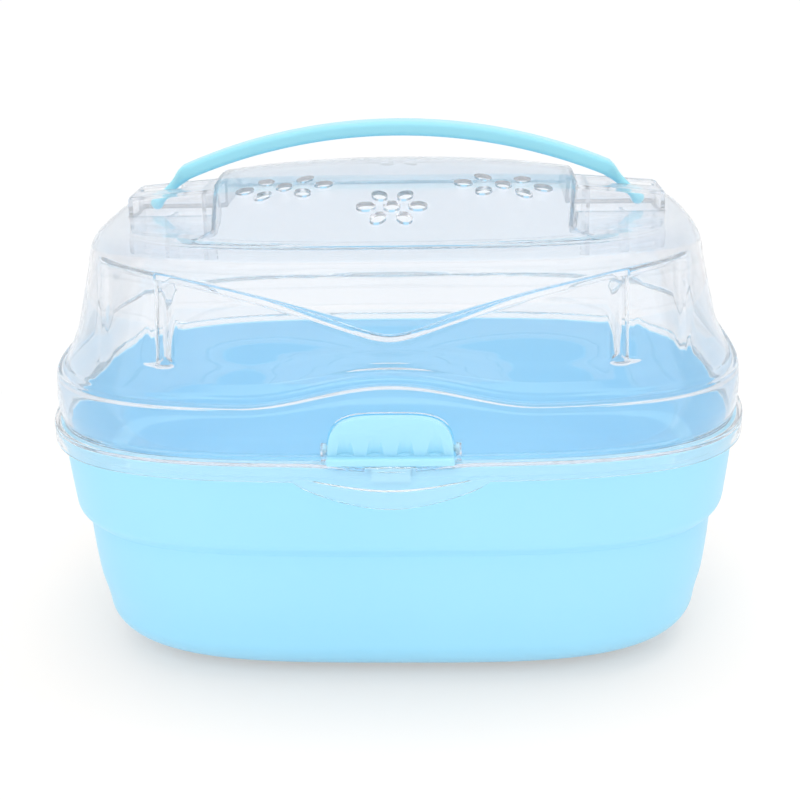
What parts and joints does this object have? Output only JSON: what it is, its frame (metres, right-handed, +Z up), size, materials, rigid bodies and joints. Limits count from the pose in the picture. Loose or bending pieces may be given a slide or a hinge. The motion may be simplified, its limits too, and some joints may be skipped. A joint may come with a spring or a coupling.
{
  "type": "small-pet carrier",
  "caption": "Small-pet carrier: blue stepped tub, clear tiered lid with vents on rear hooks, flexible bow handle and a rocking front latch.",
  "frame": {"origin": "middle of the tub's flat underside", "axes": "+X to the right seen from the latch side, -Y to the front with the latch, +Z up"},
  "size_m": [0.26, 0.2, 0.1968],
  "materials": {
    "blue_tub": "satin",
    "clear_shell": "gloss",
    "blue_strap": "satin",
    "blue_latch": "satin"
  },
  "bodies": {
    "tub": {"base_tub": "blue_tub"},
    "lid": {"clear_lid": "clear_shell"},
    "handle": {"carry_handle": "blue_strap"},
    "latch": {"front_latch": "blue_latch"}
  },
  "joints": [
    {"name": "lid_hinge", "type": "hinge", "parent": "tub", "child": "lid", "pos_m": [0, 0.096, 0.087], "axis": [-1, 0, 0], "range_deg": [0, 100]},
    {"name": "latch_press", "type": "hinge", "parent": "lid", "child": "latch", "pos_m": [0, -0.0873, 0.0984], "axis": [-1, 0, 0], "range_deg": [0, 6], "stiffness_Nm_per_rad": 0.3, "springref_deg": -2.86},
    {"name": "handle_lift", "type": "slide", "parent": "lid", "child": "handle", "axis": [0, 0, 1], "range_m": [0, 0.0009]}
  ]
}
